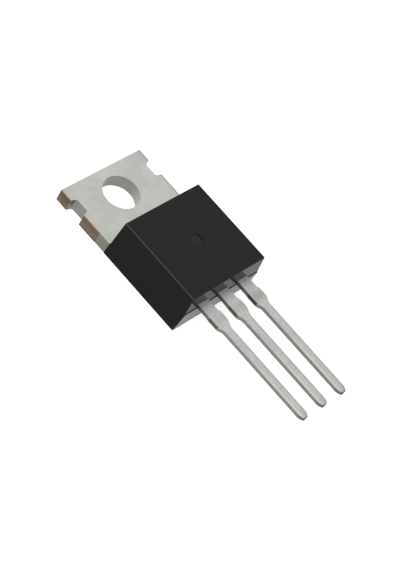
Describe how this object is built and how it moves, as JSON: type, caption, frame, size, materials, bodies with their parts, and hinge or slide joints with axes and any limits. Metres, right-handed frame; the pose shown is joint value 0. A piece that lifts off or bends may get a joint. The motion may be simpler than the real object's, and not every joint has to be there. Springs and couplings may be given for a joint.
{
  "type": "power transistor",
  "caption": "Flat moulded power transistor with a bolt-down metal tab and a row of straight leads, lying on its back.",
  "frame": {"origin": "centre of the mounting hole on the back face of the tab", "axes": "+Z leaves the front of the moulded body, the leads point along -Y and the tab ends at +Y; lying on its back, Z = 0 is the surface it rests on"},
  "size_m": [0.0098, 0.0286, 0.0044],
  "materials": {
    "moulding_compound": "black epoxy moulding compound, fine satin",
    "plated_copper": "copper with a satin tin plating, bare copper where it was sheared",
    "silicon": "polished silicon with a metal face",
    "solder": "dull solder layer",
    "bond_wire": "drawn aluminium"
  },
  "bodies": {
    "root": {"epoxy_body": "moulding_compound", "collector_tab": "plated_copper", "base_lead": "plated_copper", "emitter_lead": "plated_copper", "silicon_die": "silicon", "die_solder": "solder", "base_wire": "bond_wire", "emitter_wire_inner": "bond_wire", "emitter_wire_outer": "bond_wire"}
  },
  "joints": []
}
